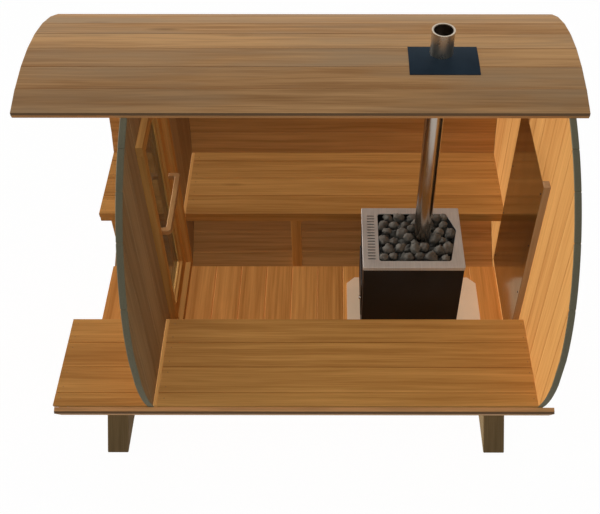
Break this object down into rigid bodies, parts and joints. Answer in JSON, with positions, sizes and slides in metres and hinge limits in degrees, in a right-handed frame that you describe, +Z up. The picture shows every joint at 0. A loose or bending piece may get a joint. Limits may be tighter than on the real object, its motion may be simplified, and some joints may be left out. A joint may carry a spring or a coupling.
{
  "type": "barrel sauna, cut away along its front",
  "caption": "Outdoor barrel sauna of flat staves on two cradles, open along its front, with a door, benches and a wood-burning heater with flue.",
  "frame": {"origin": "on the ground, below the middle of the barrel's axis", "axes": "+X along the barrel from the porch to the heater end, +Y to the back, +Z up"},
  "size_m": [2.36, 1.9456, 2.174],
  "materials": {
    "shell_wood": "weathered planed softwood",
    "wall_wood": "planed softwood boards",
    "frame_wood": "planed softwood",
    "tinted_glass": "tinted safety glass",
    "hinge_steel": "satin",
    "floor_wood": "planed softwood boards",
    "bench_wood": "planed softwood boards",
    "cradle_wood": "sawn softwood, darkened",
    "plate_metal": "beige, matt",
    "heater_black": "black, satin",
    "bright_steel": "brushed",
    "stone": "dark grey rounded stones",
    "dark_flashing": "blue-black, glossy",
    "shield_metal": "dark polished sheet",
    "batten_wood": "planed softwood"
  },
  "bodies": {
    "barrel": {"back_bench": "bench_wood", "back_porch_bench": "bench_wood", "back_staves": "shell_wood", "bench_aprons": "bench_wood", "bench_cleats": "bench_wood", "bench_end_trims": "bench_wood", "bench_posts": "bench_wood", "chimney_pipe": "bright_steel", "door_head": "frame_wood", "door_jambs": "frame_wood", "door_sill": "frame_wood", "door_wall_back": "wall_wood", "door_wall_front": "wall_wood", "door_wall_over": "wall_wood", "door_wall_under": "wall_wood", "fire_door": "heater_black", "fire_door_latch": "bright_steel", "floor_bearers": "floor_wood", "floor_plate": "plate_metal", "flue_pipe": "bright_steel", "front_bench": "bench_wood", "front_porch_bench": "bench_wood", "heat_shield": "shield_metal", "heater_casing": "heater_black", "heater_feet": "heater_black", "heater_top_frame": "bright_steel", "hinge_jamb_halves": "hinge_steel", "left_cradle": "cradle_wood", "lower_back_staves": "shell_wood", "lower_front_staves": "shell_wood", "porch_floor": "floor_wood", "rear_wall": "wall_wood", "right_cradle": "cradle_wood", "roof_flashing": "dark_flashing", "roof_staves": "shell_wood", "room_floor": "floor_wood", "shield_battens": "batten_wood", "stone_bed": "stone"},
    "door": {"door_stiles": "frame_wood", "door_rails": "frame_wood", "door_glass": "tinted_glass", "door_handle_inside": "frame_wood", "door_handle_outside": "frame_wood", "hinge_leaf_halves": "hinge_steel"}
  },
  "joints": [
    {"name": "door_hinge", "type": "hinge", "parent": "barrel", "child": "door", "pos_m": [-0.77, 0.24, 1.0775], "axis": [0, 0, -1], "range_deg": [0, 90]}
  ]
}
